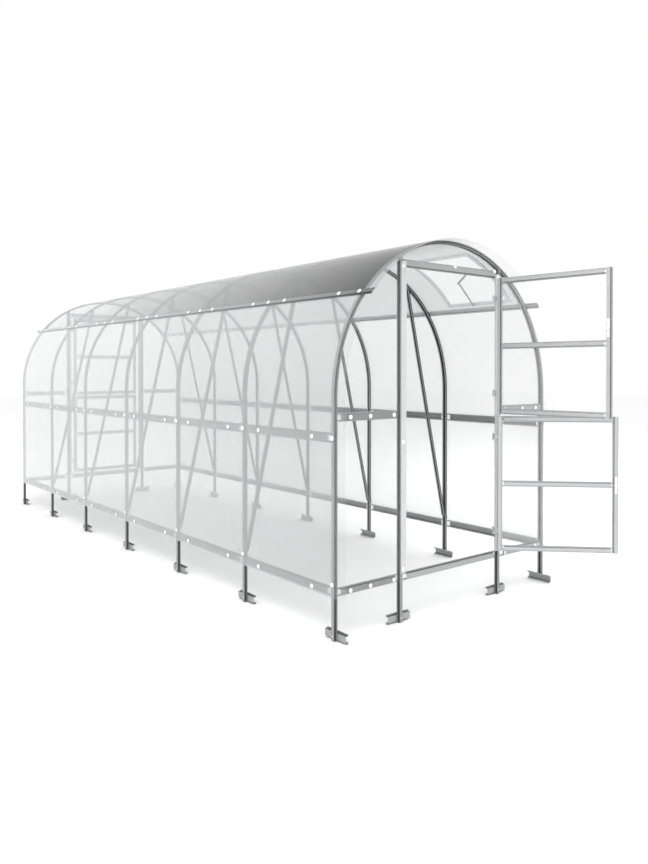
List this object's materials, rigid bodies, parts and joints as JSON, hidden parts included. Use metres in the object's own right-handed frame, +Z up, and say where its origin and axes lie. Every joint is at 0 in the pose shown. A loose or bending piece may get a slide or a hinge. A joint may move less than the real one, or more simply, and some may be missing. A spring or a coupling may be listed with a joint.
{
  "type": "polycarbonate greenhouse",
  "caption": "Tunnel greenhouse of galvanised steel arches and clear polycarbonate sheets, with two hinged half doors in its front and a roof vent.",
  "frame": {"origin": "middle of the space the greenhouse takes up with its doors ajar, at the underside of its feet", "axes": "+X to the right seen from the front, +Y along the tunnel towards its rear end, +Z up"},
  "size_m": [2.1284, 7.0274, 2.5402],
  "materials": {
    "galvanised_steel": "hot-dip galvanised with a faint spangle, satin",
    "door_steel": "galvanised, bright satin",
    "polycarbonate": "clear twin-wall sheet with fine flutes",
    "white_plastic": "matt white"
  },
  "bodies": {
    "root": {"arch_1": "galvanised_steel", "arch_2": "galvanised_steel", "arch_3": "galvanised_steel", "arch_4": "galvanised_steel", "arch_5": "galvanised_steel", "arch_6": "galvanised_steel", "arch_7": "galvanised_steel", "arch_braces": "galvanised_steel", "side_feet": "galvanised_steel", "door_post_feet": "galvanised_steel", "left_base_rail": "galvanised_steel", "left_middle_rail": "galvanised_steel", "left_upper_rail": "galvanised_steel", "right_base_rail": "galvanised_steel", "right_middle_rail": "galvanised_steel", "right_upper_rail": "galvanised_steel", "front_left_post": "galvanised_steel", "front_right_post": "galvanised_steel", "front_crossbar": "galvanised_steel", "front_middle_rails": "galvanised_steel", "front_base_rails": "galvanised_steel", "front_jamb_strips": "door_steel", "rear_posts": "galvanised_steel", "rear_crossbar": "galvanised_steel", "rear_rails": "galvanised_steel", "rear_jamb_strips": "door_steel", "left_wall_sheets": "polycarbonate", "right_wall_sheets": "polycarbonate", "front_roof_sheet": "polycarbonate", "middle_roof_sheet": "polycarbonate", "rear_roof_sheet": "polycarbonate", "front_side_sheets": "polycarbonate", "front_gable_sheet": "polycarbonate", "rear_end_sheets": "polycarbonate", "roof_vent_frame": "galvanised_steel", "roof_vent_leaf": "polycarbonate", "roof_vent_stay": "door_steel", "hinge_brackets": "door_steel", "rear_door_frames": "door_steel", "rear_door_sheets": "polycarbonate"},
    "upper_door": {"upper_door_frame": "door_steel", "upper_door_sheet": "polycarbonate", "upper_door_latch": "white_plastic"},
    "lower_door": {"lower_door_frame": "door_steel", "lower_door_sheet": "polycarbonate", "lower_door_latch": "white_plastic"}
  },
  "joints": [
    {"name": "upper_door_hinge", "type": "hinge", "parent": "root", "child": "upper_door", "pos_m": [0.43, -2.64933, 1.8225], "axis": [0, 0, 1], "range_deg": [-96, 54]},
    {"name": "lower_door_hinge", "type": "hinge", "parent": "root", "child": "lower_door", "pos_m": [0.43, -2.64933, 0.8245], "axis": [0, 0, 1], "range_deg": [-135, 15]}
  ]
}
